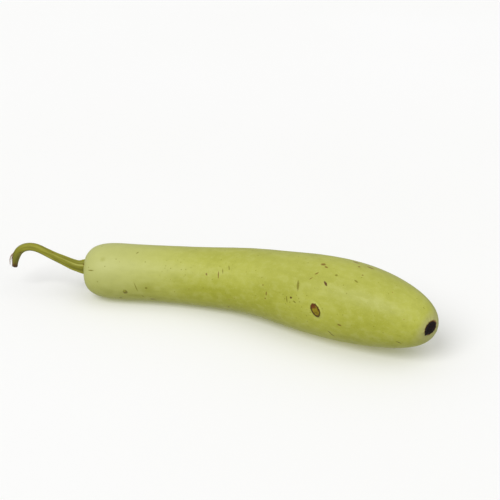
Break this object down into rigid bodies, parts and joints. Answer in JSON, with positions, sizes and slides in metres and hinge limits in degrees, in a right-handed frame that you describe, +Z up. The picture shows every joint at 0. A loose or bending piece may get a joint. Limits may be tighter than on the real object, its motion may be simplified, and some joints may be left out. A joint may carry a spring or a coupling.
{
  "type": "bottle gourd",
  "caption": "Long pale-green bottle gourd as picked, lying down, with a slightly bent neck, a fuller blossom end, a hooked cut stem and a dried blossom scar.",
  "frame": {"origin": "middle of the bottom of the whole gourd's box, on the surface that the gourd lies on", "axes": "+X from the stem end to the blossom end, +Z up from the surface, +Y to the left when looking along +X"},
  "size_m": [0.4102, 0.0834, 0.0726],
  "materials": {
    "skin": "satin, waxy young gourd skin, pale yellow-green with fine mottling and small healed marks",
    "stem_rind": "matte olive-green ridged stem with a dry brown torn tip",
    "dried_scar": "rough, near-black dried corky tissue"
  },
  "bodies": {
    "root": {"fruit": "skin", "stem": "stem_rind", "blossom_scar": "dried_scar"}
  },
  "joints": []
}
